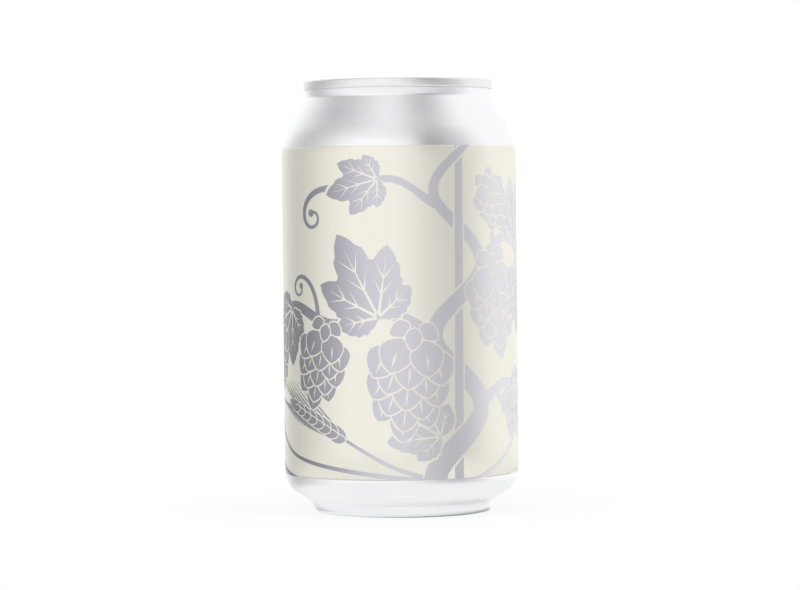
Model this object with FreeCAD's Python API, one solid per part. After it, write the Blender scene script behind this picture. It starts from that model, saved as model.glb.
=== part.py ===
"""Aluminium drinks can, shut and full, with a stay-on tab and a wrap-round label.

Millimetres, +Z up. The origin is on the can's axis, level with the ring that it stands on.
The tab lies along Y: its nose points to -Y, over the mouth, and its finger loop lies to +Y.
One solid is written for each piece: the drawn body, the seamed end, the tab and the label.
"""

import FreeCAD, Part
import math
import os

# Whole can
can_height = 122.2
body_dia = 66.2
neck_dia = 52.4

# Foot: a rounded ring with a narrow flat to stand on, a chime that slopes out, and a domed floor
stand_dia = 47.0
stand_land = 0.4
nose_radius = 1.6
nose_lean = math.radians(15.0)
chime_fillet = 4.0
heel_radius = 6.5
heel_rise = 11.0
dome_depth = 10.2
dome_radius = 48.0
dome_corner = 2.5

# Shoulder and neck
shoulder_radius = 18.3
neck_slope = math.radians(29.0)
neck_fillet = 4.0
neck_land = 1.1

# Double seam that closes the end on to the body
seam_overhang = 0.65
seam_height = 2.6
seam_wall = 1.2
seam_hem_radius = 0.4

# End: sheet with a sunk groove round a flat panel
end_gauge = 0.25
groove_inset = 3.3
groove_depth = 6.6
groove_radius = 0.55
panel_depth = 4.4
panel_corner = 0.8

# Panel's pressed recess, which narrows towards the tab's heel
recess_margin = 1.85
recess_shift = 1.8
recess_tail_radius = 9.6
recess_depth = 0.4

# Finger well under the tab's heel
well_margin = 1.3
well_radius = 3.8
well_spread = 2.4
well_depth = 0.45

# Mouth: a scored line that tears open, with a stiffening bead inside it
mouth_margin = 1.5
mouth_rivet_gap = 1.8
mouth_spread = 3.2
score_width = 0.3
score_depth = 0.1
bead_inset = 3.9
bead_width = 1.1
bead_height = 0.3

# Rivet, drawn up out of the panel
rivet_radius = 1.6
rivet_head_radius = 2.6
rivet_head_height = 0.4
rivet_head_round = 0.2

# Tab: a round nose over the mouth, and a squarer heel
tab_half_width = 7.95
tab_nose_reach = 6.3
tab_heel_gap = 1.3
tab_heel_radius = 4.8
tab_heel_spread = 2.6
tab_thickness = 1.2
tab_rise = 0.2
tab_web = 0.35
tab_edge_round = 0.55
tab_edge_share = 0.46
tab_clearance = 0.03
rivet_clearance = 0.05

# Openings in the tab: the dished web round the rivet, the finger hole and the slit round the tongue
pocket_belt = [(0.0, 1.2, 5.5), (3.4, 4.3, 1.6), (-3.4, 4.3, 1.6)]
finger_front = 7.6
finger_rim = 2.4
finger_corner = 2.2
finger_front_spread = 2.9
finger_heel_spread = 2.4
tongue_slit_radius = 3.5
tongue_slit_width = 0.5
tongue_slit_turn = 240.0

# Label
label_foot = 11.05
label_height = 92.2
label_gauge = 0.1
label_clearance = 0.02
label_overlap = 8.0

# Heights and radii that follow from the sizes above
body_r = body_dia / 2
neck_r = neck_dia / 2
seam_r = neck_r + seam_overhang
stand_r = stand_dia / 2
groove_r = seam_r - groove_inset
panel_r = groove_r - groove_radius - panel_corner
recess_reach = panel_r - recess_margin
seam_foot = can_height - seam_height
panel_z = can_height - panel_depth
recess_z = panel_z - recess_depth
tab_z = recess_z + tab_clearance

# Outlines on the end, as circles (x, y, radius) with a belt drawn tightly round them
recess_belt = [
    (0.0, -recess_shift, recess_reach - recess_shift),
    (0.0, recess_reach - recess_tail_radius, recess_tail_radius),
]
well_y = recess_reach - well_margin - well_radius
well_belt = [(-well_spread, well_y, well_radius), (well_spread, well_y, well_radius)]
mouth_front = recess_reach - mouth_margin
mouth_back = rivet_radius + mouth_rivet_gap
mouth_radius = (mouth_front - mouth_back) / 2
mouth_y = -(mouth_front + mouth_back) / 2
mouth_belt = [(-mouth_spread, mouth_y, mouth_radius), (mouth_spread, mouth_y, mouth_radius)]
heel_reach = recess_reach - tab_heel_gap
heel_y = heel_reach - tab_heel_radius
tab_belt = [
    (0.0, tab_half_width - tab_nose_reach, tab_half_width),
    (tab_heel_spread, heel_y, tab_heel_radius),
    (-tab_heel_spread, heel_y, tab_heel_radius),
]
finger_front_y = finger_front + finger_corner
finger_heel_y = heel_reach - finger_rim - finger_corner
finger_belt = [
    (-finger_front_spread, finger_front_y, finger_corner),
    (finger_front_spread, finger_front_y, finger_corner),
    (finger_heel_spread, finger_heel_y, finger_corner),
    (-finger_heel_spread, finger_heel_y, finger_corner),
]

AXIS = FreeCAD.Vector(0, 0, 1)
ORIGIN = FreeCAD.Vector(0, 0, 0)


def point(u, v):
    return FreeCAD.Vector(u, v, 0)


def heading(angle):
    return point(math.cos(angle), math.sin(angle))


def line(start, end):
    return Part.makeLine(start, end)


def arc(centre, radius, first, last):
    """The arc from one bearing to another, round centre."""
    middle = (first + last) / 2
    points = [centre + heading(angle) * radius for angle in (first, middle, last)]
    return Part.Arc(*points).toShape()


def turned(edges):
    """Solid of revolution about Z, from edges drawn with u as the radius and v as the height."""
    wire = Part.Wire(Part.__sortEdges__(edges))
    upright = wire.rotated(ORIGIN, FreeCAD.Vector(1, 0, 0), 90)
    return Part.Face(upright).revolve(ORIGIN, AXIS, 360)


def crossing_normal(outer_centre, outer_radius, inner_centre, inner_radius, side):
    """Bearing of the normal of the line that runs between two circles and touches both.

    The outer circle is on the side that the normal points to, and the inner one on the other.
    """
    apart = outer_centre - inner_centre
    spread = math.acos((outer_radius + inner_radius) / apart.Length)
    return math.remainder(math.atan2(apart.y, apart.x) + side * spread, 2 * math.pi)


def belt_face(circles, grow=0.0):
    """Flat face inside a belt drawn tightly round circles that are listed anticlockwise."""
    count = len(circles)
    normals = []
    for here, there in zip(circles, circles[1:] + circles[:1]):
        apart = point(there[0] - here[0], there[1] - here[1])
        bearing = math.atan2(apart.y, apart.x)
        normals.append(bearing - math.acos((here[2] - there[2]) / apart.Length))
    edges = []
    for i, (x, y, radius) in enumerate(circles):
        centre = point(x, y)
        first = normals[i - 1]
        last = first + (normals[i] - first) % (2 * math.pi)
        edges.append(arc(centre, radius + grow, first, last))
        x_next, y_next, radius_next = circles[(i + 1) % count]
        start = centre + heading(normals[i]) * (radius + grow)
        end = point(x_next, y_next) + heading(normals[i]) * (radius_next + grow)
        edges.append(line(start, end))
    return Part.Face(Part.Wire(edges))


def belt_prism(circles, bottom, top, grow=0.0):
    face = belt_face(circles, grow)
    face.translate(AXIS * bottom)
    return face.extrude(AXIS * (top - bottom))


def cylinder(radius, bottom, top):
    return Part.makeCylinder(radius, top - bottom, AXIS * bottom)


def foot_edges():
    """The can's underside and chime, from the top of the dome on the axis to the straight wall."""
    inner_nose = point(stand_r - stand_land / 2, nose_radius)
    nose = point(stand_r + stand_land / 2, nose_radius)
    dome = point(0, dome_depth - dome_radius)
    inner_r = inner_nose.x - nose_radius
    corner_r = inner_r - dome_corner
    corner_reach = math.sqrt((dome_radius - dome_corner) ** 2 - corner_r**2)
    corner = point(corner_r, dome.y + corner_reach)
    dome_edge = math.atan2(corner_reach, corner_r)
    chime = nose + heading(-nose_lean) * (nose_radius + chime_fillet)
    heel = point(body_r - heel_radius, heel_rise)
    slope = crossing_normal(chime, chime_fillet, heel, heel_radius, 1)
    return [
        arc(dome, dome_radius, math.pi / 2, dome_edge),
        arc(corner, dome_corner, dome_edge, 0),
        line(point(inner_r, corner.y), point(inner_r, nose.y)),
        arc(inner_nose, nose_radius, -math.pi, -math.pi / 2),
        line(point(inner_nose.x, 0), point(nose.x, 0)),
        arc(nose, nose_radius, -math.pi / 2, -nose_lean),
        arc(chime, chime_fillet, math.pi - nose_lean, math.pi + slope),
        line(chime - heading(slope) * chime_fillet, heel + heading(slope) * heel_radius),
        arc(heel, heel_radius, slope, 0),
    ]


def shoulder_edges():
    """The straight wall, shoulder, cone and neck, from the heel up to the seam."""
    land = point(neck_r + neck_fillet, seam_foot - neck_land)
    cone_top = land - heading(neck_slope) * neck_fillet
    shoulder_r = body_r - shoulder_radius
    cone_foot_r = shoulder_r + shoulder_radius * math.cos(neck_slope)
    cone_foot_z = cone_top.y - (cone_foot_r - cone_top.x) / math.tan(neck_slope)
    shoulder = point(shoulder_r, cone_foot_z - shoulder_radius * math.sin(neck_slope))
    return [
        line(point(body_r, heel_rise), point(body_r, shoulder.y)),
        arc(shoulder, shoulder_radius, 0, neck_slope),
        line(point(cone_foot_r, cone_foot_z), cone_top),
        arc(land, neck_fillet, math.pi + neck_slope, math.pi),
        line(point(neck_r, land.y), point(neck_r, seam_foot)),
    ]


def end_surface(drop):
    """The end's upper surface lowered by drop: the chuck wall's tilt, its foot and the edges in to the axis."""
    groove = point(groove_r, can_height - groove_depth + groove_radius)
    crown = point(seam_r - seam_wall / 2, can_height - seam_wall / 2)
    tilt = crossing_normal(groove, groove_radius, crown, seam_wall / 2, -1)
    groove_reach = groove_radius + drop
    corner_reach = panel_corner - drop
    wall_foot = groove - heading(tilt) * groove_reach
    corner = point(panel_r, panel_z - panel_corner)
    edges = [
        arc(groove, groove_reach, tilt - math.pi, -math.pi),
        line(groove - point(groove_reach, 0), point(groove.x - groove_reach, corner.y)),
        arc(corner, corner_reach, 0, math.pi / 2),
        line(corner + point(0, corner_reach), point(0, panel_z - drop)),
    ]
    return tilt, wall_foot, edges


def wall_at_seam():
    """Foot of the chuck wall's outer face, its top point at the seam's foot, and the sheet's underside."""
    tilt, foot, edges = end_surface(end_gauge)
    rise = seam_foot - foot.y
    top = point(foot.x - rise * math.tan(tilt), seam_foot)
    return foot, top, edges


def make_body():
    foot, top, underside = wall_at_seam()
    edges = foot_edges() + shoulder_edges() + underside
    edges.append(line(point(neck_r, seam_foot), top))
    edges.append(line(top, foot))
    edges.append(line(point(0, dome_depth), point(0, panel_z - end_gauge)))
    return turned(edges)


def make_end():
    foot, top, underside = wall_at_seam()
    tilt, inner_foot, upper = end_surface(0.0)
    crown = point(seam_r - seam_wall / 2, can_height - seam_wall / 2)
    crown_r = seam_wall / 2
    hem = point(seam_r - seam_hem_radius, seam_foot + seam_hem_radius)
    edges = underside + upper
    edges.append(line(foot, top))
    edges.append(line(top, point(hem.x, seam_foot)))
    edges.append(arc(hem, seam_hem_radius, -math.pi / 2, 0))
    edges.append(line(point(seam_r, hem.y), point(seam_r, crown.y)))
    edges.append(arc(crown, crown_r, 0, tilt))
    edges.append(line(crown + heading(tilt) * crown_r, inner_foot))
    edges.append(line(point(0, panel_z - end_gauge), point(0, panel_z)))
    return turned(edges)


def press(body, end, circles, top, depth):
    """Press a belt of the end's sheet down by depth, and clear the body from under it."""
    sheet_foot = top - end_gauge - depth
    backing = belt_prism(circles, sheet_foot, top - end_gauge, end_gauge)
    hollow = belt_prism(circles, top - depth, top)
    return body.cut(backing), end.fuse(backing).cut(hollow)


def belt_ring(circles, grow, width, bottom, top):
    outer = belt_prism(circles, bottom, top, grow + width / 2)
    inner = belt_prism(circles, bottom, top, grow - width / 2)
    return outer.cut(inner)


def make_rivet():
    head_z = tab_z + tab_web + tab_clearance
    stem = cylinder(rivet_radius, recess_z - end_gauge, head_z)
    head = cylinder(rivet_head_radius, head_z, head_z + rivet_head_height)
    rim = [edge for edge in head.Edges if edge.BoundBox.ZMin > head_z]
    return stem.fuse(head.makeFillet(rivet_head_round, rim[:1]))


def finish_panel(body, end):
    """The panel's recess, finger well, score line, stiffening bead and rivet."""
    body, end = press(body, end, recess_belt, panel_z, recess_depth)
    body, end = press(body, end, well_belt, recess_z, well_depth)
    score = belt_ring(mouth_belt, 0.0, score_width, recess_z - score_depth, recess_z)
    bead = belt_ring(mouth_belt, -bead_inset, bead_width, recess_z, recess_z + bead_height)
    end = end.cut(score).fuse(bead).fuse(make_rivet())
    return body, end


def make_tab():
    """A flat loop with rolled edges, and a thin web, set lower, that the rivet holds down."""
    foot = tab_z + tab_rise
    top = foot + tab_thickness
    slab = belt_prism(tab_belt, foot, top).cut(belt_prism(finger_belt, foot, top))
    roll = min(tab_edge_round, tab_edge_share * tab_thickness)
    flat = [edge for edge in slab.Edges if edge.BoundBox.ZLength < roll]
    loop = slab.makeFillet(roll, flat)
    loop = loop.cut(belt_prism(pocket_belt, foot, top))
    tab = loop.fuse(belt_prism(pocket_belt, tab_z, tab_z + tab_web, tab_web))
    tab = tab.cut(cylinder(rivet_radius + rivet_clearance, tab_z, top))
    slit_in = tongue_slit_radius - tongue_slit_width / 2
    slit_out = tongue_slit_radius + tongue_slit_width / 2
    sector = Part.makeCylinder(slit_out, tab_thickness, AXIS * tab_z, AXIS, tongue_slit_turn)
    slit = sector.cut(cylinder(slit_in, tab_z, top))
    slit.rotate(ORIGIN, AXIS, 90 - tongue_slit_turn / 2)
    return tab.cut(slit)


def make_label():
    """A sleeve one sheet thick, and two sheets thick where its ends overlap at the back."""
    inner_r = body_r + label_clearance
    outer_r = inner_r + label_gauge
    top = label_foot + label_height
    sleeve = cylinder(outer_r, label_foot, top).cut(cylinder(inner_r, label_foot, top))
    overlap_turn = math.degrees(label_overlap / outer_r)
    foot = AXIS * label_foot
    sector = Part.makeCylinder(outer_r + label_gauge, label_height, foot, AXIS, overlap_turn)
    lap = sector.cut(cylinder(inner_r, label_foot, top))
    lap.rotate(ORIGIN, AXIS, 90 - overlap_turn / 2)
    return sleeve.fuse(lap).removeSplitter()


def main():
    body, end = finish_panel(make_body(), make_end())
    nodes = {
        "can_body": body,
        "can_end": end,
        "tab": make_tab(),
        "label": make_label(),
    }
    os.makedirs("parts", exist_ok=True)
    for name, shape in nodes.items():
        shape.exportStep(f"parts/{name}.step")
        print(f"{name}: {shape.Volume:.1f} mm3")


main()
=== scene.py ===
"""Looks of a shut aluminium drinks can with a wrap-round label, standing in a white studio.

Lengths are in millimetres, and become metres where a mesh is made. The can stands on the origin with its
axis along +Z. Its front faces -Y; azimuths are measured from there, positive towards +X. On the label,
u is the distance round the can from the front and v the height above the label's foot.
"""
import math

import bpy
import numpy as np
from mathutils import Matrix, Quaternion, Vector, geometry


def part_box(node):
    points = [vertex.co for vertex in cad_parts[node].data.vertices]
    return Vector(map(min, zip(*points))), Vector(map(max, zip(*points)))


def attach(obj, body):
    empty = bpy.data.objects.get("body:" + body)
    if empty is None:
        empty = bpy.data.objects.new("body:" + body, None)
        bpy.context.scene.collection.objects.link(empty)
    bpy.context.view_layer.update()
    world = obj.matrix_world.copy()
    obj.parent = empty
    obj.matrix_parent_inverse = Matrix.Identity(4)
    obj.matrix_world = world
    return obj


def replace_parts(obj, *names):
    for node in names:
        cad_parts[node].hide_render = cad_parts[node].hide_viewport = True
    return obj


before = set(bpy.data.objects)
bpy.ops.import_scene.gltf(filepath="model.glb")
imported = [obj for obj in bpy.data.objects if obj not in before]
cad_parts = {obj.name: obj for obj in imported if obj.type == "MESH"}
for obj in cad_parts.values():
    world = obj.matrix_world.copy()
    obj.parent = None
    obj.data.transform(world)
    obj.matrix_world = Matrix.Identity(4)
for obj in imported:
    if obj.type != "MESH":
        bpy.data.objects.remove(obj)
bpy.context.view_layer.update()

MM = 0.001
TURN = 2 * math.pi


def box_mm(node):
    low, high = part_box(node)
    return low / MM, high / MM


# Sizes read from the frame
can_height = box_mm("can_end")[1].z
seam_r = box_mm("can_end")[1].x
seam_foot = box_mm("can_body")[1].z
body_r = box_mm("can_body")[1].x
label_r = box_mm("label")[1].x
label_lap_r = box_mm("label")[1].y
label_foot = box_mm("label")[0].z
label_top = box_mm("label")[1].z

# Foot of the body: its standing ring, chime, heel and domed floor
stand_r = 23.5
stand_land = 0.4
nose_radius = 1.6
nose_lean = math.radians(15.0)
chime_fillet = 4.0
heel_radius = 6.5
heel_rise = 11.0
dome_depth = 10.2
dome_radius = 48.0
dome_corner = 2.5

# Shoulder and neck
shoulder_radius = 18.3
neck_slope = math.radians(29.0)
neck_r = 26.2
neck_fillet = 4.0
neck_land = 1.1
waist_fillet = 1.0
flare_lean = math.radians(15.0)
flare_height = 1.45
seam_gap = 0.27

# Parts of the shell that the end hides: the lip's bevel, the wall inside it and the flat cup
lip_bevel_in = 0.07
lip_bevel_up = 0.06
lip_inset = 0.1
cup_inset = 0.4
cup_depth = 7.4
cup_z = can_height - cup_depth

# Double seam and end
seam_wall = 1.2
seam_inset = 0.3
hem_width = 0.3
hem_height = 0.9
groove_inset = 3.3
groove_depth = 6.6
groove_radius = 0.55
groove_r = seam_r - groove_inset
groove_z = can_height - groove_depth
panel_depth = 4.4
panel_corner = 0.8
panel_flat = 0.6
panel_r = groove_r - groove_radius - panel_corner
panel_z = can_height - panel_depth
panel_rim_r = panel_r - panel_flat

# Rivet
rivet_r = 1.6
rivet_foot_flare = 0.4
rivet_foot_rise = 0.2
head_r = 2.6
head_height = 0.4
head_gap = 0.03
head_bevel = 0.08
head_round = 0.2
rivet_dish = ((1.5, 0.0), (1.2, 0.04), (0.9, 0.12), (0.0, 0.14))

# Panel's shapes, most of them belts: the outlines of a belt drawn round circles (x, y, radius)
recess_margin = 1.85
recess_shift = 1.8
recess_tail_r = 9.6
recess_depth = 0.4
recess_slope = 0.9
recess_reach = panel_r - recess_margin
recess_z = panel_z - recess_depth
recess_belt = [
    (0.0, -recess_shift, recess_reach - recess_shift), (0.0, recess_reach - recess_tail_r, recess_tail_r),
]
well_margin = 1.3
well_r = 3.8
well_spread = 2.4
well_depth = 0.45
well_slope = 2.0
well_belt = [(x, recess_reach - (well_margin + well_r), well_r) for x in (-well_spread, well_spread)]
mouth_margin = 1.5
mouth_rivet_gap = 1.8
mouth_spread = 3.2
mouth_r = (recess_reach - mouth_margin - (rivet_r + mouth_rivet_gap)) / 2
mouth_belt = [(x, mouth_r + mouth_margin - recess_reach, mouth_r) for x in (-mouth_spread, mouth_spread)]
scores = ((0.0, 0.10), (-0.9, 0.06))
score_width = 0.3
bead_inset = 3.9
bead_width = 1.1
bead_height = 0.3

# Tab: a round nose over the mouth, a squarer heel, a low web round the rivet and a finger hole
tab_clearance = 0.03
tab_rise = 0.2
tab_z = recess_z + tab_clearance
tab_foot = tab_z + tab_rise
tab_roll = 0.6
tab_web = 0.35
tab_sink = 0.4
tab_sink_slope = 0.8
tab_nose = (0.0, 1.65, 7.95)
tab_heel_gap = 1.3
tab_heel_r = 4.8
tab_heel_spread = 2.6
tab_heel = recess_reach - tab_heel_gap
tab_belt = [tab_nose]
tab_belt += [(x, tab_heel - tab_heel_r, tab_heel_r) for x in (tab_heel_spread, -tab_heel_spread)]
pocket_belt = [(0.0, 1.2, 5.5), (3.4, 4.3, 1.6), (-3.4, 4.3, 1.6)]
pocket_slope = 0.7
finger_r = 2.2
finger_margin = 2.4
finger_heel = tab_heel - (finger_margin + finger_r)
finger_corners = ((-2.9, 9.8), (2.9, 9.8), (2.4, finger_heel), (-2.4, finger_heel))
finger_belt = [(x, y, finger_r) for x, y in finger_corners]
slit_r = 3.5
slit_width = 0.5
slit_half_turn = math.radians(120)

# Where the panel and the tab have extra lines of points, as offsets from the edges of their shapes
recess_steps = (-0.45, -0.3, -0.15, 0, 0.15, 0.3, 0.45)
well_steps = (-2.0, -1.6, -1.2, -0.8, -0.4, 0)
score_steps = (-0.15, -0.07, 0, 0.07, 0.15)
bead_steps = (-0.55, -0.36, -0.18, 0, 0.18, 0.36, 0.55)
tab_steps = (0, 0.03, 0.1, 0.2, 0.33, 0.47, 0.6, 0.8, 1.0, 1.2, 1.4)
pocket_steps = (0, 0.15, 0.35, 0.55, 0.7)

# How finely the shapes are divided: pieces of a turn, spacings, and what counts as touching
can_segments = 288
rivet_segments = 96
label_segments = 720
label_rows = 10
curl_rows = 8
slit_segments = 48
panel_cell = 0.7
tab_cell = 0.6
tab_line_step = 0.5
closeness = 1e-6
merge_reach = 1e-4

# Label
label_gauge = 0.1
label_lap = 8.0
lap_ramp = 0.2
lap_step = 0.01
label_curl = 3.2
label_edge = 0.4 * label_gauge
# Height of the painted shadow: a greyer band along the label's foot, where it meets the can
label_foot_shadow = 0.4
foil_lift = 0.02
foil_cell = 1.4
foil_reach = 98.0
# Painted shade on the silver print: its colour runs from dark violet grey on the left to pale silver on the
# right
foil_painted_shade = (  # place across the can from left to right, and colour
    (0.12, (0.33, 0.315, 0.36)),
    (0.24, (0.42, 0.405, 0.46)),
    (0.37, (0.61, 0.60, 0.66)),
    (0.65, (0.74, 0.735, 0.78)),
    (0.85, (0.78, 0.78, 0.82)),
)

# Leaf lobes: bearing, reach and width, the last two as shares of the leaf's size
leaf_lobes = (
    (-1.3, 0.52, 0.36), (1.3, 0.52, 0.36), (-0.62, 0.84, 0.46), (0.62, 0.84, 0.46), (0.0, 1.08, 0.54),
)

# Camera
camera_place = Vector((0.0, -0.9, 0.08645))
camera_aim = Vector((0.0, 0.0, 0.06125))
camera_lens = 142.2
camera_roll = math.radians(-0.6)

# Floor, in metres: how far its shadow and its lit contact with the can reach from the can's axis
floor_reach = 3.0
floor_drop = 0.00005
floor_cells = 8
floor_colour = (0.86, 0.86, 0.86)
shadow_span = (0.03, 0.085)
shadow_share = 0.14
contact_span = (0.0230, 0.0246)
mirrored_span = (0.0232, 0.0264)
contact_shift = 0.0012


# -------- studio


def in_scene(name, data):
    """A new object, linked into the scene."""
    item = bpy.data.objects.new(name, data)
    bpy.context.scene.collection.objects.link(item)
    return item


def aim_at_can(item, place, roll=0.0):
    """Puts a camera or a lamp at a place, aims it at the can's middle and rolls it."""
    item.location = place
    item.rotation_mode = "QUATERNION"
    aimed = (camera_aim - Vector(place)).to_track_quat("-Z", "Y")
    item.rotation_quaternion = aimed @ Quaternion((0, 0, 1), roll)


def make_camera():
    """A long lens a little above the can's middle, rolled by a fraction of a degree."""
    camera = in_scene("camera", bpy.data.cameras.new("camera"))
    camera.data.lens = camera_lens
    aim_at_can(camera, camera_place, camera_roll)
    bpy.context.scene.camera = camera


def seen_rays(tree):
    """1 for the rays that show the background: camera, glossy and transmission rays."""
    path = tree.nodes.new("ShaderNodeLightPath")
    value = path.outputs["Is Camera Ray"]
    for name in ("Is Glossy Ray", "Is Transmission Ray"):
        larger = tree.nodes.new("ShaderNodeMath")
        larger.operation = "MAXIMUM"
        tree.links.new(value, larger.inputs[0])
        tree.links.new(path.outputs[name], larger.inputs[1])
        value = larger.outputs[0]
    return value


def make_world(fill):
    """White where it is seen or mirrored, and an even grey fill light for the rest."""
    world = bpy.data.worlds.new("studio")
    bpy.context.scene.world = world
    world.use_nodes = True
    tree = world.node_tree
    background = tree.nodes["Background"]
    background.inputs["Color"].default_value = (1, 1, 1, 1)
    world.cycles.sampling_method = "NONE"
    strength = map_range(tree, seen_rays(tree), (0, 1), (fill, 1.0))
    tree.links.new(strength, background.inputs["Strength"])


def make_lamp(name, place, size, power):
    """A square soft lamp that faces the can and leaves no highlight of its own."""
    data = bpy.data.lights.new(name, "AREA")
    data.size = size
    data.energy = power
    lamp = in_scene(name, data)
    aim_at_can(lamp, place)
    lamp.visible_glossy = False


def emission(tree, colour):
    """A surface that shines with a colour at strength 1."""
    node = tree.nodes.new("ShaderNodeEmission")
    node.inputs["Color"].default_value = (*colour, 1)
    return node.outputs["Emission"]


def mixed(tree, share, first, second):
    """One shader mixed into another by a share."""
    node = tree.nodes.new("ShaderNodeMixShader")
    tree.links.new(share, node.inputs[0])
    tree.links.new(first, node.inputs[1])
    tree.links.new(second, node.inputs[2])
    return node.outputs[0]


def make_card(name, centre, reach, elevations, soft, level, lean=0.0, distance=0.7):
    """A grey or white card, curved round the can and soft at its edges, that only mirrors see.

    It is centred on an azimuth and reaches so far to its left and right; 180 degrees goes all round.
    Soft is the width of the fade at its lower and upper edge. Lean moves the centre with elevation.
    Angles are in degrees, and the distance from the camera's aim in metres.
    """
    columns, rows = 72, 36
    points, fades = [], []
    for j in range(rows + 1):
        elevation = elevations[0] + (elevations[1] - elevations[0]) * j / rows
        fade_up = smooth_step((elevation - elevations[0]) / soft[0])
        fade_up *= smooth_step((elevations[1] - elevation) / soft[1])
        for i in range(columns + 1):
            offset = -reach[0] + (reach[0] + reach[1]) * i / columns
            side = reach[0 if offset < 0 else 1]
            a = math.radians(centre + lean * elevation + offset)
            e = math.radians(elevation)
            ray = Vector((math.sin(a) * math.cos(e), -math.cos(a) * math.cos(e), math.sin(e)))
            points.append(camera_aim + ray * distance)
            fades.append(fade_up * (1 if side == 180 else smooth_step(1 - abs(offset) / side)))
    mesh = bpy.data.meshes.new(name)
    mesh.from_pydata(points, [], grid_faces(columns, rows))
    mesh.attributes.new("fade", "FLOAT", "POINT").data.foreach_set("value", fades)
    card = in_scene(name, mesh)
    material, tree = new_material(name)
    material.cycles.emission_sampling = "NONE"
    fade = tree.nodes.new("ShaderNodeAttribute")
    fade.attribute_name = "fade"
    clear = tree.nodes.new("ShaderNodeBsdfTransparent").outputs[0]
    grey = emission(tree, (level, level, level))
    show(tree, mixed(tree, fade.outputs["Fac"], clear, grey))
    mesh.materials.append(material)
    card.visible_camera = False
    card.visible_diffuse = False
    card.visible_transmission = False
    card.visible_shadow = False


def near_the_can(tree, reach, share, shift=0.0):
    """A share that holds up to the first reach from the can's axis and is gone at the second.

    Shift moves that axis to the right.
    """
    distance = tree.nodes.new("ShaderNodeVectorMath")
    distance.operation = "DISTANCE"
    distance.inputs[1].default_value = (shift, 0, 0)
    tree.links.new(object_coords(tree), distance.inputs[0])
    return map_range(tree, distance.outputs["Value"], reach, (share, 0.0), "SMOOTHSTEP")


def make_floor():
    """A white sheet that keeps the can's soft shadow near it and is plain white further away.

    Mirrors see its lit paper close to the can, and past that the white studio.
    """
    marks = [(2 * i / floor_cells - 1) * floor_reach for i in range(floor_cells + 1)]
    mesh = bpy.data.meshes.new("floor")
    points = [(x, y, -floor_drop) for y in marks for x in marks]
    mesh.from_pydata(points, [], grid_faces(floor_cells, floor_cells))
    floor = in_scene("floor", mesh)
    material, tree = new_material("floor_paper")
    material.cycles.emission_sampling = "NONE"
    diffuse = tree.nodes.new("ShaderNodeBsdfDiffuse")
    diffuse.inputs["Color"].default_value = (*floor_colour, 1)
    paper = diffuse.outputs[0]
    clear = tree.nodes.new("ShaderNodeBsdfTransparent").outputs[0]
    path = tree.nodes.new("ShaderNodeLightPath")
    seen = mixed(tree, near_the_can(tree, shadow_span, shadow_share), emission(tree, (1, 1, 1)), paper)
    seen = mixed(tree, near_the_can(tree, contact_span, 1.0, contact_shift), seen, paper)
    mirrored = mixed(tree, near_the_can(tree, mirrored_span, 1.0, contact_shift), clear, paper)
    surface = mixed(tree, path.outputs["Is Glossy Ray"], paper, mirrored)
    show(tree, mixed(tree, path.outputs["Is Camera Ray"], surface, seen))
    mesh.materials.append(material)


def make_studio():
    """The white surroundings, three soft lamps, the cards that shade the metal and the floor."""
    make_world(fill=0.45)
    make_lamp("lamp_left", (-0.9, -0.9, 0.7), 0.9, 7.0)
    make_lamp("lamp_right", (1.0, -0.7, 0.6), 0.9, 8.0)
    make_lamp("lamp_top", (0.0, -0.1, 1.2), 0.9, 6.0)
    make_card("card_front", -20, (50, 45), (8, 34), (6, 6), 1.0, distance=0.68)
    make_card("card_left", -118, (46, 70), (-34, 74), (16, 12), 0.56, lean=0.55)
    make_card("card_right", 53, (66, 52), (-30, 80), (16, 12), 0.57, lean=-0.2, distance=0.72)
    make_card("card_core", 38, (26, 24), (0, 60), (20, 40), 0.38, lean=-0.1, distance=0.7)
    make_card("card_high", -30, (75, 75), (33, 89), (5, 5), 0.88, distance=0.74)
    make_card("card_low", 0, (180, 180), (-89, -12), (10, 10), 0.91, distance=0.76)
    make_floor()


# -------- meshes


def smooth_step(t):
    """An S-shaped rise from 0 to 1 as t, a number or an array, goes from 0 to 1."""
    t = np.clip(t, 0.0, 1.0)
    return t * t * (3 - 2 * t)


def grid_faces(columns, rows, wrap=False):
    """Faces of a grid whose points are listed row by row; wrap joins the last column to the first."""
    across = columns if wrap else columns + 1
    faces = []
    for low in range(0, rows * across, across):
        high = low + across
        for i in range(columns):
            after = (i + 1) % across
            faces.append((low + i, low + after, high + after, high + i))
    return faces


def mesh_piece(name, points, faces, material, slot, sharp=math.radians(40), normals=None):
    """A piece of the can from points in millimetres; it rides on the can and takes the given material. Slot
    is not used.
    """
    mesh = bpy.data.meshes.new(name)
    mesh.from_pydata([Vector(point) * MM for point in points], [], faces)
    mesh.validate()
    mesh.shade_smooth()
    if normals:
        mesh.normals_split_custom_set_from_vertices(normals)
    else:
        mesh.set_sharp_from_angle(angle=sharp)
    mesh.materials.append(material)
    piece = in_scene(name, mesh)
    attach(piece, "root")
    return piece


def heading(angle):
    """The unit vector along a bearing."""
    return Vector((math.cos(angle), math.sin(angle)))


def arc(centre, radius, first, last, step=math.radians(5)):
    """Points on an arc from one bearing to another."""
    count = max(2, math.ceil(abs(last - first) / step))
    return [centre + heading(first + (last - first) * i / count) * radius for i in range(count + 1)]


def span(start, end, step):
    """Points along a straight run, without its last one."""
    start, end = Vector(start), Vector(end)
    count = max(1, round((end - start).length / step))
    return [start.lerp(end, i / count) for i in range(count)]


def crossing_normal(outer, outer_radius, inner, inner_radius, side):
    """Bearing of the normal of the line that runs between two circles and touches both."""
    apart = outer - inner
    spread = math.acos((outer_radius + inner_radius) / apart.length)
    return math.remainder(math.atan2(apart.y, apart.x) + side * spread, TURN)


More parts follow.
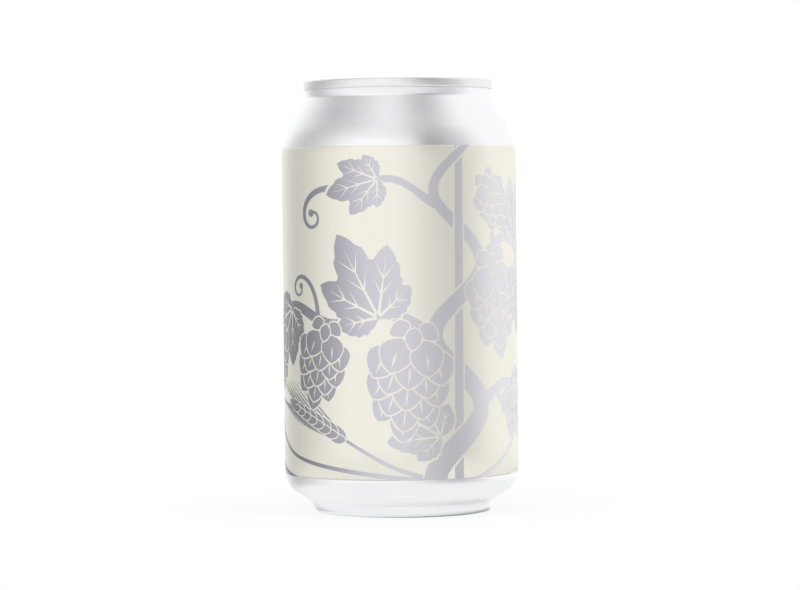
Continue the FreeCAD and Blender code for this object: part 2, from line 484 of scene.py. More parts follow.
def turned(profile, segments):
    """Points and faces of a surface of revolution from (radius, height) points."""
    points, faces, rings = [], [], []
    tips = [radius < closeness for radius, height in profile]
    for (radius, height), tip in zip(profile, tips):
        rings.append(len(points))
        if tip:
            points.append((0.0, 0.0, height))
            continue
        for i in range(segments):
            angle = TURN * i / segments
            points.append((radius * math.sin(angle), -radius * math.cos(angle), height))
    for low, high, low_tip, high_tip in zip(rings, rings[1:], tips, tips[1:]):
        for i in range(segments):
            after = (i + 1) % segments
            if low_tip:
                faces.append((low, high + after, high + i))
            elif high_tip:
                faces.append((low + i, low + after, high))
            else:
                faces.append((low + i, low + after, high + after, high + i))
    return points, faces


def winding(points, polygon):
    """How often a polygon runs round each point, so 0 for the points outside it."""
    x, y = points[:, 0, None], points[:, 1, None]
    a = np.array(polygon)
    b = np.roll(a, -1, axis=0)
    cross = (b[:, 0] - a[:, 0]) * (y - a[:, 1]) - (x - a[:, 0]) * (b[:, 1] - a[:, 1])
    up = (a[:, 1] <= y) & (b[:, 1] > y) & (cross > 0)
    down = (a[:, 1] > y) & (b[:, 1] <= y) & (cross < 0)
    return up.sum(axis=1) - down.sum(axis=1)


def triangulated(outlines, cell):
    """Triangles cut along closed outlines, with a grid of points inside the first one's box.

    Returns the points, the triangles' corners and the triangles' middles.
    """
    corners, edges = [], []
    for outline in outlines:
        base, count = len(corners), len(outline)
        corners += [Vector(point) for point in outline]
        edges += [(base + i, base + (i + 1) % count) for i in range(count)]
    low, high = np.min(outlines[0], axis=0), np.max(outlines[0], axis=0)
    columns, rows = np.ceil((high - low) / cell).astype(int)
    corners += [
        Vector((low[0] + (high[0] - low[0]) * i / columns, low[1] + (high[1] - low[1]) * j / rows))
        for i in range(1, columns) for j in range(1, rows)
    ]
    cut = geometry.delaunay_2d_cdt(corners, edges, [], 0, merge_reach, False)
    flat = np.array(cut[0])
    triangles = np.array(cut[2])
    return flat, triangles, flat[triangles].mean(axis=1)


def used_only(points, triangles):
    """The points that some triangles use, and those triangles numbered to match."""
    used, faces = np.unique(triangles, return_inverse=True)
    return points[used], faces.reshape(-1, 3)


# -------- materials


def new_material(name):
    """A material with an empty node tree but for its output."""
    material = bpy.data.materials.new(name)
    material.use_nodes = True
    tree = material.node_tree
    tree.nodes.remove(tree.nodes["Principled BSDF"])
    return material, tree


def show(tree, shader):
    """Links a shader to the material's output."""
    tree.links.new(shader, tree.nodes["Material Output"].inputs["Surface"])


def object_coords(tree):
    """The object's own coordinates in metres."""
    return tree.nodes.new("ShaderNodeTexCoord").outputs["Object"]


def axes_of(tree):
    """The object's own X, Y and Z in metres."""
    split = tree.nodes.new("ShaderNodeSeparateXYZ")
    tree.links.new(object_coords(tree), split.inputs["Vector"])
    return split.outputs


def map_range(tree, value, source, target=(0.0, 1.0), kind="LINEAR"):
    """A value carried from one range to another and held within it."""
    node = tree.nodes.new("ShaderNodeMapRange")
    node.interpolation_type = kind
    for name, number in zip(("From Min", "From Max", "To Min", "To Max"), (*source, *target)):
        node.inputs[name].default_value = number
    tree.links.new(value, node.inputs["Value"])
    return node.outputs["Result"]


def noise(tree, stretch, detail):
    """Noise over the object's own coordinates, with its scale along each axis in cells per metre."""
    mapping = tree.nodes.new("ShaderNodeMapping")
    mapping.inputs["Scale"].default_value = stretch
    texture = tree.nodes.new("ShaderNodeTexNoise")
    texture.inputs["Scale"].default_value = 1.0
    texture.inputs["Detail"].default_value = detail
    tree.links.new(object_coords(tree), mapping.inputs["Vector"])
    tree.links.new(mapping.outputs["Vector"], texture.inputs["Vector"])
    return texture.outputs["Fac"]


def ranged(tree, value, low, high):
    """A noise value, which mostly lies between 0.3 and 0.7, spread over low to high."""
    return map_range(tree, value, (0.3, 0.7), (low, high))


def blended(tree, share, first, second):
    """A colour between two, each a tuple or a socket."""
    node = tree.nodes.new("ShaderNodeMix")
    node.data_type = "RGBA"
    tree.links.new(share, node.inputs["Factor"])
    for name, colour in (("A", first), ("B", second)):
        socket = next(s for s in node.inputs if s.name == name and s.type == "RGBA")
        if isinstance(colour, tuple):
            socket.default_value = (*colour, 1)
        else:
            tree.links.new(colour, socket)
    return next(s for s in node.outputs if s.type == "RGBA")


def finish_shader(tree, colour, roughness, metallic, height, depth_mm):
    """The one shader of a material, with a bump of the given depth from a height between 0 and 1."""
    shader = tree.nodes.new("ShaderNodeBsdfPrincipled")
    shader.inputs["Metallic"].default_value = metallic
    bump = tree.nodes.new("ShaderNodeBump")
    bump.inputs["Distance"].default_value = depth_mm * MM
    tree.links.new(height, bump.inputs["Height"])
    inputs = {"Base Color": colour, "Roughness": roughness, "Normal": bump.outputs["Normal"]}
    for name, socket in inputs.items():
        tree.links.new(socket, shader.inputs[name])
    show(tree, shader.outputs[0])


def drawn_aluminium():
    """Ironed can wall: fine streaks along the can and a soft haze."""
    material, tree = new_material("drawn_aluminium")
    streaks = noise(tree, (2600, 2600, 90), 2.0)
    haze = noise(tree, (60, 60, 130), 4.0)
    colour = blended(tree, ranged(tree, haze, 0, 1), (0.925, 0.93, 0.94), (0.965, 0.97, 0.975))
    roughness = ranged(tree, haze, 0.16, 0.22)
    finish_shader(tree, colour, roughness, 1.0, streaks, 0.0016)
    return material


def rolled_aluminium(name, shade, rough):
    """Rolled sheet for the end and the tab: a straight fine grain and a soft haze."""
    material, tree = new_material(name)
    grain = noise(tree, (180, 5200, 900), 2.0)
    haze = noise(tree, (110, 110, 110), 3.0)
    light = tuple(min(1.0, c + 0.06) for c in shade)
    colour = blended(tree, ranged(tree, grain, 0, 1), shade, light)
    roughness = ranged(tree, haze, rough, rough + 0.06)
    finish_shader(tree, colour, roughness, 1.0, grain, 0.0012)
    return material


def label_film():
    """Cream film with a pearl sheen, a fine grain, faint clouding and a painted shadow: a greyer band at
    its foot.
    """
    material, tree = new_material("label_film")
    grain = noise(tree, (2400, 2400, 2400), 2.0)
    clouds = noise(tree, (90, 90, 8), 2.0)
    colour = blended(tree, ranged(tree, clouds, 0, 1), (0.855, 0.835, 0.74), (0.88, 0.86, 0.77))
    # painted shadow: the film turns greyer in a thin band along the label's foot
    foot_shadow_span = [(label_foot + label_foot_shadow * share) * MM for share in (0.5, 1.0)]
    above_foot_shadow = map_range(tree, axes_of(tree)["Z"], foot_shadow_span)
    colour = blended(tree, above_foot_shadow, (0.62, 0.605, 0.56), colour)
    roughness = ranged(tree, grain, 0.28, 0.31)
    finish_shader(tree, colour, roughness, 0.8, grain, 0.0004)
    return material


def label_foil():
    """Silver print whose painted shade fades from violet grey on the can's left to pale silver on its
    right.
    """
    material, tree = new_material("label_foil")
    grain = noise(tree, (1500, 1500, 1500), 2.0)
    clouds = noise(tree, (50, 50, 20), 2.0)
    # painted shade: the print's colour darkens towards the can's left side
    across = map_range(tree, axes_of(tree)["X"], (-label_r * MM, label_r * MM))
    fade = tree.nodes.new("ShaderNodeValToRGB")
    stops = fade.color_ramp.elements
    stops[0].position, stops[0].color = foil_painted_shade[0][0], (*foil_painted_shade[0][1], 1)
    stops[1].position, stops[1].color = foil_painted_shade[-1][0], (*foil_painted_shade[-1][1], 1)
    for place, colour in foil_painted_shade[1:-1]:
        stops.new(place).color = (*colour, 1)
    tree.links.new(across, fade.inputs["Fac"])
    colour = blended(tree, ranged(tree, clouds, 0.0, 0.06), fade.outputs["Color"], (1.0, 1.0, 1.0))
    roughness = ranged(tree, grain, 0.29, 0.37)
    finish_shader(tree, colour, roughness, 1.0, grain, 0.0008)
    return material


# -------- can body


def foot_profile():
    """The can's underside and chime as (radius, height) points, from the axis to the straight wall."""
    inner_nose = Vector((stand_r - stand_land / 2, nose_radius))
    nose = Vector((stand_r + stand_land / 2, nose_radius))
    dome = Vector((0, dome_depth - dome_radius))
    inner_r = inner_nose.x - nose_radius
    corner_r = inner_r - dome_corner
    corner_reach = math.sqrt((dome_radius - dome_corner) ** 2 - corner_r**2)
    corner = Vector((corner_r, dome.y + corner_reach))
    dome_edge = math.atan2(corner_reach, corner_r)
    chime = nose + heading(-nose_lean) * (nose_radius + chime_fillet)
    heel = Vector((body_r - heel_radius, heel_rise))
    slope = crossing_normal(chime, chime_fillet, heel, heel_radius, 1)
    line_start = chime - heading(slope) * chime_fillet
    line_end = heel + heading(slope) * heel_radius
    profile = arc(dome, dome_radius, math.pi / 2, dome_edge, math.radians(2))
    profile += arc(corner, dome_corner, dome_edge, 0)
    profile += arc(inner_nose, nose_radius, -math.pi, -math.pi / 2)
    profile += arc(nose, nose_radius, -math.pi / 2, -nose_lean)
    profile += arc(chime, chime_fillet, math.pi - nose_lean, math.pi + slope)
    profile += span(line_start, line_end, 1.0)[1:]
    profile += arc(heel, heel_radius, slope, 0)
    return profile


def shoulder_profile():
    """The straight wall, shoulder, cone and waist, up to the gap under the seam."""
    land = Vector((neck_r + neck_fillet, seam_foot - neck_land))
    slope = heading(neck_slope)
    cone_top = land - slope * neck_fillet
    shoulder_x = body_r - shoulder_radius
    cone_foot_r = shoulder_x + shoulder_radius * math.cos(neck_slope)
    cone_foot_z = cone_top.y - (cone_foot_r - cone_top.x) / math.tan(neck_slope)
    shoulder = Vector((shoulder_x, cone_foot_z - shoulder_radius * math.sin(neck_slope)))
    lip_z = seam_foot - seam_gap
    waist_z = lip_z - flare_height - waist_fillet * math.sin(flare_lean)
    waist = Vector(((slope.dot(cone_top) + waist_fillet - slope.y * waist_z) / slope.x, waist_z))
    profile = span((body_r, heel_rise), (body_r, shoulder.y), 6.0)[1:]
    profile += arc(shoulder, shoulder_radius, 0, neck_slope, math.radians(2))
    profile += span((cone_foot_r, cone_foot_z), waist - slope * waist_fillet, 1.0)[1:]
    profile += arc(waist, waist_fillet, math.pi + neck_slope, math.pi - flare_lean, math.radians(3))
    profile.append(Vector((profile[-1].x + flare_height * math.tan(flare_lean), lip_z)))
    return profile


def make_shell():
    """The drawn can with the lip that the seam holds, and a wall and floor hidden under the end."""
    profile = foot_profile() + shoulder_profile()
    lip = profile[-1]
    profile.append(lip + Vector((-lip_bevel_in, lip_bevel_up)))
    profile += [Vector((neck_r - lip_inset, height)) for height in (lip.y + lip_bevel_up, seam_foot)]
    profile += [Vector((neck_r - cup_inset, height)) for height in (seam_foot, cup_z)]
    profile.append(Vector((0, cup_z)))
    shell = mesh_piece("can_shell", *turned(profile, can_segments), drawn_aluminium(), "drawn_aluminium")
    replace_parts(shell, "can_body")


# -------- end and tab


compass = np.array([heading(TURN * i / 360) for i in range(360)])


def belt_reach(circles):
    """How far a belt drawn tightly round circles reaches along each bearing, from each circle."""
    return np.array([compass @ np.array((x, y)) + radius for x, y, radius in circles])


def belt_distance(points, circles):
    """Distance of each point from a belt, negative inside it."""
    return (points @ compass.T - belt_reach(circles).max(axis=0)).max(axis=1)


def belt_outline(circles, grow=0.0, step=0.7):
    """Closely spaced points round a belt that is grown by a margin."""
    holders = belt_reach(circles).argmax(axis=0)
    corners = [
        np.array(circles[holder][:2]) + bearing * (circles[holder][2] + grow)
        for bearing, holder in zip(compass[::3], holders[::3])
    ]
    outline = []
    for start, stop in zip(corners, corners[1:] + corners[:1]):
        count = max(1, round(np.linalg.norm(stop - start) / step))
        outline += [tuple(start + (stop - start) * i / count) for i in range(count)]
    return outline


def panel_heights(points):
    """Height of the end's pressed panel."""
    heights = panel_z - recess_depth * smooth_step(0.5 - belt_distance(points, recess_belt) / recess_slope)
    heights -= well_depth * smooth_step(-belt_distance(points, well_belt) / well_slope)
    mouth = belt_distance(points, mouth_belt)
    for inset, depth in scores:
        heights -= depth * smooth_step(1 - abs(mouth - inset) / (score_width / 2))
    heights += bead_height * smooth_step(1 - abs(mouth + bead_inset) / (bead_width / 2))
    return heights


def make_panel(material):
    """The pressed panel, with the slopes of its heights as its normals and a flat rim."""
    angles = [TURN * i / can_segments for i in range(can_segments)]
    rim = [(panel_rim_r * math.sin(angle), -panel_rim_r * math.cos(angle)) for angle in angles]
    outlines = [rim]
    outlines += [belt_outline(recess_belt, grow) for grow in recess_steps]
    outlines += [belt_outline(well_belt, grow) for grow in well_steps]
    for inset, _ in scores:
        outlines += [belt_outline(mouth_belt, inset + grow) for grow in score_steps]
    outlines += [belt_outline(mouth_belt, grow - bead_inset) for grow in bead_steps]
    flat, triangles, middles = triangulated(outlines, panel_cell)
    flat, faces = used_only(flat, triangles[winding(middles, rim) != 0])
    nudge, rim_slack = 0.02, 0.01
    slopes = [
        (panel_heights(flat + step) - panel_heights(flat - step)) / (2 * nudge)
        for step in (np.array((nudge, 0)), np.array((0, nudge)))
    ]
    inner = np.linalg.norm(flat, axis=1) < panel_rim_r - rim_slack
    normals = [Vector((-x * k, -y * k, 1)).normalized() for x, y, k in zip(*slopes, inner)]
    points = np.column_stack([flat, panel_heights(flat)]).tolist()
    mesh_piece("end_panel", points, faces.tolist(), material, "end_aluminium", normals=normals)


def make_rivet(material):
    """A stem with a flared foot, and a dished head over the tab's web."""
    head_z = tab_z + tab_web + head_gap
    top = head_z + head_height
    corners = [
        (rivet_r + rivet_foot_flare, recess_z), (rivet_r, recess_z + rivet_foot_rise), (rivet_r, head_z),
        (head_r - head_bevel, head_z), (head_r, head_z + head_bevel),
    ]
    profile = [Vector(corner) for corner in corners]
    edge = Vector((head_r - head_round, top - head_round))
    profile += arc(edge, head_round, 0, math.pi / 2, math.radians(15))
    profile += [Vector((radius, top - sink)) for radius, sink in rivet_dish]
    mesh_piece("rivet", *turned(profile, rivet_segments), material, "end_aluminium")


def make_end():
    """The seam, chuck wall and groove, the panel and its rivet."""
    material = rolled_aluminium("end_aluminium", (0.84, 0.845, 0.85), 0.2)
    groove = Vector((groove_r, groove_z + groove_radius))
    crown = Vector((seam_r - seam_wall / 2, can_height - seam_wall / 2))
    tilt = crossing_normal(groove, groove_radius, crown, seam_wall / 2, -1)
    hem_r, hem_z = seam_r - hem_width, seam_foot + hem_height
    angles = [math.radians(angle) for angle in range(-90, 1, 9)]
    hem = [Vector((hem_r + hem_width * math.cos(a), hem_z + hem_height * math.sin(a))) for a in angles]
    corner = Vector((panel_r, panel_z - panel_corner))
    wall_top = crown + heading(tilt) * (seam_wall / 2)
    wall_foot = groove - heading(tilt) * groove_radius
    profile = [Vector((neck_r - seam_inset, seam_foot))] + hem
    profile += arc(crown, seam_wall / 2, 0, tilt, math.radians(8))
    profile += span(wall_top, wall_foot, 0.8)[1:]
    profile += arc(groove, groove_radius, tilt - math.pi, -math.pi, math.radians(12))
    profile += arc(corner, panel_corner, 0, math.pi / 2, math.radians(10))
    profile.append(Vector((panel_rim_r, panel_z)))
    rim = mesh_piece("end_rim", *turned(profile, can_segments), material, "end_aluminium", math.radians(70))
    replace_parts(rim, "can_end")
    make_panel(material)
    make_rivet(material)


def make_tab():
    """A loop with a rolled edge and a sunk top, and a thin web with a tongue that the rivet holds."""
    slit = []
    for radius, direction in ((slit_r + slit_width / 2, 1), (slit_r - slit_width / 2, -1)):
        shares = [2 * i / slit_segments - 1 for i in range(slit_segments + 1)]
        turns = [direction * slit_half_turn * share for share in shares]
        slit += [(radius * math.sin(turn), radius * math.cos(turn)) for turn in turns]
    outlines = [belt_outline(tab_belt, -grow, tab_line_step) for grow in tab_steps]
    outlines += [belt_outline(finger_belt, grow, tab_line_step) for grow in tab_steps]
    outlines += [belt_outline(pocket_belt, -grow, tab_line_step) for grow in pocket_steps]
    flat, triangles, middles = triangulated(outlines + [slit], tab_cell)
    kept = (belt_distance(middles, tab_belt) < 0) & (belt_distance(middles, finger_belt) > 0)
    flat, triangles = used_only(flat, triangles[kept & (winding(middles, slit) == 0)])
    inward = np.minimum(-belt_distance(flat, tab_belt), belt_distance(flat, finger_belt))
    on_edge = 0.004
    inward = np.where(inward < on_edge, 0, inward)
    bulge = np.sqrt(tab_roll**2 - (tab_roll - np.clip(inward, 0, tab_roll)) ** 2)
    pocket = smooth_step(-belt_distance(flat, pocket_belt) / pocket_slope)
    tops = tab_foot + tab_roll + bulge - tab_sink * smooth_step((inward - tab_roll) / tab_sink_slope)
    bottoms = tab_foot + tab_roll - bulge
    tops += (tab_z + tab_web - tops) * pocket
    bottoms += (tab_z - bottoms) * pocket
    # the underside's points, which are the top's own where the two sides meet
    count = len(flat)
    under = np.where(tops - bottoms < closeness, np.arange(count), np.arange(count) + count)
    faces = triangles.tolist() + under[triangles][:, ::-1].tolist()
    sides = {(a, b) for face in triangles.tolist() for a, b in zip(face, face[1:] + face[:1])}
    for a, b in sorted(sides):
        if (b, a) not in sides and a != under[a] and b != under[b]:
            faces.append([b, a, under[a], under[b]])
    points = np.vstack([np.column_stack([flat, tops]), np.column_stack([flat, bottoms])])
    used = np.unique(np.concatenate(faces))
    renamed = dict(zip(used.tolist(), range(len(used))))
    faces = [[renamed[int(corner)] for corner in face] for face in faces]
    material = rolled_aluminium("tab_aluminium", (0.80, 0.805, 0.815), 0.24)
    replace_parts(mesh_piece("pull_tab", points[used].tolist(), faces, material, "tab_aluminium"), "tab")


# -------- label


def tuck(heights):
    """How far the can has drawn in at heights on its wall and shoulder, which the label follows."""
    radii, levels = zip(*shoulder_profile())
    return body_r - np.interp(heights, levels, radii)


def label_radius(turn):
    """Outer radius of the label at a share of a turn from the front.

    At the back its end lies over its start: the overlap rises on a ramp and ends in a step.
    """
    half = label_lap / (TURN * label_r) / 2
    past = turn - (0.5 - half)
    if past < half:
        rise = smooth_step(past / (lap_ramp * half))
    else:
        rise = smooth_step((2 * half - past) / (lap_step * half))
    return label_r + (label_lap_r - label_r) * rise


def make_label():
    """A sleeve one sheet thick with slightly rounded edges.

    Its section runs up the outside and down the inside, as (share of the thickness, height) points.
    """
    inner = label_r - label_gauge
    flush = 1.0 - label_edge / label_gauge
    curl = [label_curl * k / curl_rows for k in range(curl_rows + 1)]
    height = label_top - label_foot
    section = [(0.0, label_foot), (flush, label_foot), (1.0, label_foot + label_edge)]
    section += [(1.0, label_foot + height * k / label_rows) for k in range(1, label_rows)]
    section += [(1.0, label_top - drop) for drop in curl[:0:-1]]
    section += [(1.0, label_top - label_edge), (flush, label_top)]
    section += [(0.0, label_top - drop) for drop in curl]
    points = []
    for (share, height), drawn_in in zip(section, tuck([height for share, height in section])):
        for i in range(label_segments):
            turn = i / label_segments
            radius = inner + (label_radius(turn) - inner) * share - drawn_in
            points.append((radius * math.sin(TURN * turn), -radius * math.cos(TURN * turn), height))
    faces = grid_faces(label_segments, len(section) - 1, wrap=True)
    last = (len(section) - 1) * label_segments
    for i in range(label_segments):
        after = (i + 1) % label_segments
        faces.append((last + i, last + after, after, i))
    label = mesh_piece("label_wrap", points, faces, label_film(), "label_film", math.radians(50))
    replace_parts(label, "label")


# -------- label print


def spline(p, q, r, s, t):
    """The Catmull-Rom value at share t from q to r, with p before them and s after."""
    return (2 * q + (r - p) * t + (2 * p - 5 * q + 4 * r - s) * t**2 + (3 * q - p - 3 * r + s) * t**3) / 2


def smooth_line(points, step=1.0):
    """A Catmull-Rom line through points, as closely spaced points."""
    ends = [tuple(2 * b - a for a, b in zip(points[1], points[0]))]
    tail = [tuple(2 * b - a for a, b in zip(points[-2], points[-1]))]
    padded = ends + list(points) + tail
    line = []
    for a, b, c, d in zip(padded, padded[1:], padded[2:], padded[3:]):
        count = max(2, int(math.dist(b, c) / step))
        for i in range(count):
            line.append(tuple(spline(*values, i / count) for values in zip(a, b, c, d)))
    return line + [points[-1]]


def placed(points, at, angle):
    """Points turned by an angle and moved from the origin to a place."""
    c, s = math.cos(angle), math.sin(angle)
    return [(at[0] + x * c - y * s, at[1] + x * s + y * c) for x, y in points]


def disc(centre, radius, count=16):
    """The outline of a filled circle."""
    angles = [TURN * i / count for i in range(count)]
    return [(centre[0] + radius * math.cos(a), centre[1] + radius * math.sin(a)) for a in angles]


def ribbon(line, width):
    """The outline of a stroke along a line; width(t) is its full width at share t."""
    last = len(line) - 1
    left, right = [], []
    for i, (x, y) in enumerate(line):
        before, after = line[max(i - 1, 0)], line[min(i + 1, last)]
        dx, dy = after[0] - before[0], after[1] - before[1]
        half = width(i / last) / 2 / (math.hypot(dx, dy) or 1.0)
        left.append((x - dy * half, y + dx * half))
        right.append((x + dy * half, y - dx * half))
    return left + right[::-1]


def taper(start, middle, end, peak=0.3):
    """A width that runs smoothly from start to middle at share peak, and on to end."""
    def width(t):
        if t < peak:
            return start + (middle - start) * smooth_step(t / peak)
        return middle + (end - middle) * smooth_step((t - peak) / (1 - peak))
    return width


def bract(length, width, grow=0.0, count=10):
    """A scale with a pointed tip, from the origin along +x, grown by a margin."""
    before, beyond = 0.42, 0.58  # shares of the length on each side of its widest place
    top = []
    for i in range(count + 1):
        t = i / count
        rise = t / before if t < before else (1 - t) / beyond
        half = width / 2 * math.sin(math.pi / 2 * rise) ** 0.72
        top.append((t * (length + 2 * grow) - grow, half + grow * (0 < i < count)))
    return top + [(x, -y) for x, y in reversed(top[1:-1])]


def saw_lobe(length, width, teeth, grow=0.0):
    """A pointed leaf lobe along +x whose edge is cut into forward-pointing teeth."""
    before, beyond = 0.45, 0.55  # shares of the length on each side of its widest place
    top = []
    count = teeth * 4
    for i in range(count + 1):
        t = i / count
        rise = t / before if t < before else (1 - t) / beyond
        bite = 0.87 + 0.2 * (t * teeth % 1.0) if 0.08 < t < 0.95 else 0.9
        half = width / 2 * math.sin(math.pi / 2 * rise) ** 0.75 * bite
        top.append((t * (length + grow), half + grow * (0 < i < count)))
    return top + [(x, -y) for x, y in reversed(top[1:-1])]


class Print:
    """Layers of ink and of clear film; a later layer covers an earlier one."""

    def __init__(self):
        self.layers = []

    def add(self, inked, polygons):
        self.layers.append((inked, polygons))

    def bordered(self, shapes, margin):
        """Ink shapes over clear copies of them that are grown by a margin; shapes(grow) makes them."""
        self.add(False, shapes(margin))
        self.add(True, shapes(0.0))

    def stem(self, points, width, margin=0.0):
        """A stroke through points with round ends, and a clear margin round it if one is given."""
        line = smooth_line(points)
        if margin:
            self.add(False, [ribbon(line, lambda t: width(t) + 2 * margin)])
        self.add(True, [ribbon(line, width), disc(line[0], width(0) / 2), disc(line[-1], width(1) / 2)])

    def curl(self, at, angle, size, hand, wide):
        """A tendril that winds in on itself and ends in a bead."""
        line = [at]
        steps = 60
        length = size * 4.6
        for i in range(steps):
            # it leaves nearly straight, and bends more and more tightly
            angle += hand * length / steps * (0.10 + 1.9 * (i / steps)**2.2) / size * 2.2
            x, y = line[-1]
            line.append((x + math.cos(angle) * length / steps, y + math.sin(angle) * length / steps))
        self.add(True, [ribbon(line, taper(wide, wide * 0.9, wide * 0.45)), disc(line[-1], wide * 0.6)])

    def leaf(self, at, angle, size, teeth=5):
        """A five-lobed leaf with saw edges and clear veins."""
        self.bordered(lambda grow: [
            placed(saw_lobe(size * reach, size * girth, teeth, grow), at, angle + turn)
            for turn, reach, girth in leaf_lobes
        ], 0.6)
        veins = []
        for turn, reach, girth in leaf_lobes:
            length = size * reach
            runs = [((0.04, 0), (0.82, 0), 0.034)]
            runs += [((share, 0), (share + 0.2, side * 0.24 * girth / reach), 0.018)
                     for share in (0.32, 0.54) for side in (-1, 1)]
            for start, end, wide in runs:
                line = smooth_line([(x * length, y * length) for x, y in (start, end)])
                width = taper(size * wide, size * wide, 0.1, 0.1)
                veins.append(ribbon(placed(line, at, angle + turn), width))
        self.add(False, veins)

    def cone(self, at, angle, length, rows=8):
        """A hop cone that hangs from a point: rows of bracts, the upper over the lower, under sepals."""
        width = length * 0.66
        for row in range(rows - 1, -1, -1):
            t = row / (rows - 1)
            depth = length * (0.03 + 0.70 * t)
            girth = width * math.sin(math.pi * (0.27 + 0.62 * t)) ** 0.85
            reach = length * (0.33 - 0.04 * t)
            wide = width * (0.47 - 0.10 * t)
            fan = 0.7
            if row == rows - 1:
                offsets = [0.0]
            elif row % 2:
                offsets = [-0.30, 0.30]
            else:
                offsets = [-0.52, 0.52, 0.0]
            if row == 0:
                depth, girth, reach, wide, fan = 0.0, width * 0.24, length * 0.2, width * 0.22, 1.9
            for offset in offsets:
                root = (depth - reach * 0.3 * abs(offset), offset * girth * 0.60)
                self.bordered(lambda grow: [
                    placed(placed(bract(reach, wide, grow), root, offset * fan), at, angle)
                ], 0.38)
                crease = placed([(reach * s, 0.0) for s in (0.40, 0.6, 0.86)], root, offset * fan)
                if row:
                    width_along = taper(0.1, wide * 0.08, 0.1, 0.4)
                    self.add(False, [ribbon(placed(crease, at, angle), width_along)])

    def ear(self, points, kernels, awn, size=5.6):
        """An ear of barley on a curved stalk: kernels in pairs, with long awns."""
        self.stem(points, taper(1.3, 1.2, 0.9))
        line = smooth_line(points)
        bearing = math.atan2(line[-1][1] - line[-4][1], line[-1][0] - line[-4][0])
        at = line[-1]
        for i in range(kernels):
            share = 1 - 0.22 * i / (kernels - 1)
            sides = [(side, bearing + side * 0.36 * share) for side in (-1, 1)]
            for side, tilt in sides:
                tip = placed([(size * share * 0.9, 0)], at, tilt)[0]
                far = placed([(awn * share, 0)], tip, tilt - side * 0.14)[0]
                self.add(True, [ribbon(smooth_line([tip, far]), taper(0.5, 0.45, 0.12))])
            for side, tilt in sides:
                self.bordered(lambda grow: [
                    placed(bract(size * share, size * 0.44 * share, grow), at, tilt)
                ], 0.3)
            at = placed([(size * 0.5, 0)], at, bearing)[0]
            bearing += 0.025
        self.add(True, [placed(bract(size * 0.8, size * 0.34), at, bearing)])


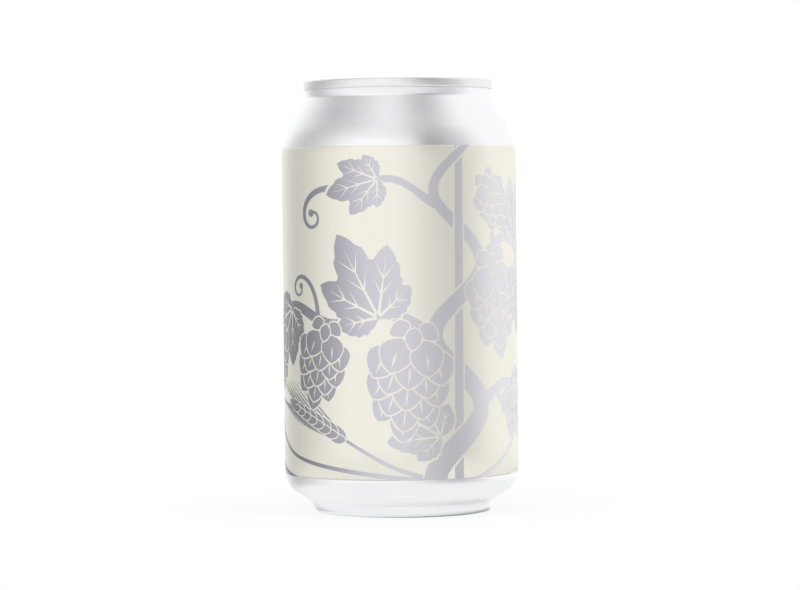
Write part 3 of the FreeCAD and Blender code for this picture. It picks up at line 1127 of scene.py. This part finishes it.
def compose(art):
    """A hop bine that twines up a pole, with cones, leaves and curls, and barley at its foot."""
    pole = 17.0
    pitch = 40.0
    sway = 7.5

    def bine(start, top, margin=0.0):
        """Half a turn of the bine upwards from a height, kept between the label's foot and a top."""
        heights = [start + pitch / 2 * i / 9 for i in range(10)]
        points = [(pole - sway * math.cos(TURN * v / pitch), v) for v in heights if -6 < v < top]
        if len(points) > 2:
            low, high = points[0][1], points[-1][1]
            # it thins from 6.6 mm at the foot to 2.2 mm at the label's top
            art.stem(points, lambda t: 6.6 - 4.4 * (low + (high - low) * t) / 92, margin)

    # barley at the foot
    for points, kernels, awn in (
        ([(12, -1), (-2, 3.5), (-16, 11)], 8, 17),
        ([(14, -1), (-12, 2), (-36, 6), (-48, 12)], 7, 14),
        ([(21, -1), (33, 4), (44, 12)], 8, 17),
        ([(36, -1), (52, 3), (66, 12)], 8, 17),
        ([(-34, -1), (-50, 3), (-62, 12)], 8, 17),
    ):
        art.ear(points, kernels, awn)
    # branches
    long_branch = [(9.5, 40), (-4, 46), (-20, 43), (-36, 48), (-52, 43), (-68, 47), (-82, 42), (-92, 45)]
    for points, width in (
        (long_branch, (3.4, 3.0, 0.8)),
        ([(9.8, 76), (-2, 83), (-16, 80)], (2.4, 2.0, 1.6)),
        ([(24.5, 60), (36, 67), (50, 63), (66, 68), (80, 63), (92, 67)], (3.0, 2.6, 0.8)),
        ([(24.5, 21), (36, 26), (52, 23), (68, 28), (84, 23)], (3.2, 2.6, 0.8)),
        ([(46, 66), (56, 76), (70, 81), (84, 79)], (1.8, 2.0, 0.8)),
        ([(-50, 44), (-56, 57), (-68, 66), (-80, 73), (-92, 71)], (1.6, 2.2, 0.8)),
    ):
        art.stem(points, taper(*width))
    # the bine behind the pole, the pole, and the bine in front of it
    for k in range(-1, 3):
        bine((k + 0.5) * pitch, 90)
    art.stem([(pole - 0.4, -3), (pole, 45), (pole + 0.3, 95)], taper(2.8, 2.6, 2.4), margin=0.6)
    for k in range(3):
        bine(k * pitch, 97, margin=0.6)
    # curls, leaves and cones, each at a point and turned by degrees
    for at, turn, size, hand, wide in (
        ((-25, 44), 92, 6, 1, 1.5), ((30, 64), 100, 5, -1, 1.5), ((31, 24), -60, 5, 1, 1.5),
        ((-15, 80.5), 172, 7, 1, 1.8), ((60, 78), 95, 4.5, -1, 1.5), ((60, 25), 80, 5, 1, 1.5),
        ((-60, 61), 170, 5, 1, 1.5),
    ):
        art.curl(at, math.radians(turn), size, hand, wide)
    for at, turn, size in (
        ((-6, 45), 118, 24), ((-38, 47), 235, 19), ((43, 65), 62, 22), ((-6, 83), 195, 15),
        ((40, 25), -52, 19), ((11, 12), 150, 18), ((-66, 46), 80, 20), ((74, 65), 70, 19),
        ((72, 27), -70, 18), ((-76, 71), 110, 17),
    ):
        art.leaf(at, math.radians(turn), size)
    for at, turn, length in (
        ((4, 42), -97, 31), ((-22, 43), -104, 24), ((29, 62), -80, 29), ((50, 62), -96, 23),
        ((-50, 44), -84, 20), ((26, 84), -60, 18), ((-80, 43), -92, 27), ((80, 62), -88, 25),
        ((-88, 71), -80, 17), ((78, 80), -84, 15),
    ):
        art.cone(at, math.radians(turn), length)


def make_foil():
    """The print as a thin layer just over the label, cut out of one triangulation of all its shapes."""
    art = Print()
    compose(art)
    height = label_top - label_foot
    corners = [(-foil_reach, 0.0), (foil_reach, 0.0), (foil_reach, height), (-foil_reach, height)]
    sides = zip(corners, corners[1:] + corners[:1])
    sheet = [point for start, end in sides for point in span(start, end, foil_cell)]
    outlines = [sheet] + [polygon for inked, polygons in art.layers for polygon in polygons]
    flat, triangles, middles = triangulated(outlines, foil_cell)
    ink = np.zeros(len(middles), bool)
    for inked, polygons in art.layers:
        for polygon in polygons:
            low, high = np.min(polygon, axis=0), np.max(polygon, axis=0)
            near = np.flatnonzero(((middles > low) & (middles < high)).all(axis=1))
            ink[near[winding(middles[near], polygon) != 0]] = inked
    ink &= (abs(middles[:, 0]) < foil_reach) & (middles[:, 1] > 0) & (middles[:, 1] < height)
    flat, faces = used_only(flat, triangles[ink])
    points, normals = [], []
    for (u, v), drawn_in in zip(flat, tuck(label_foot + flat[:, 1])):
        turn = u / label_r
        out = Vector((math.sin(turn), -math.cos(turn), 0))
        points.append(out * (label_r - drawn_in + foil_lift) + Vector((0, 0, label_foot + v)))
        normals.append(out)
    mesh_piece("label_print", points, faces.tolist(), label_foil(), "label_foil", normals=normals)


# -------- assembly


make_camera()
make_studio()
make_shell()
make_label()
make_foil()
make_end()
make_tab()

bpy.context.scene.view_settings.view_transform = "Standard"
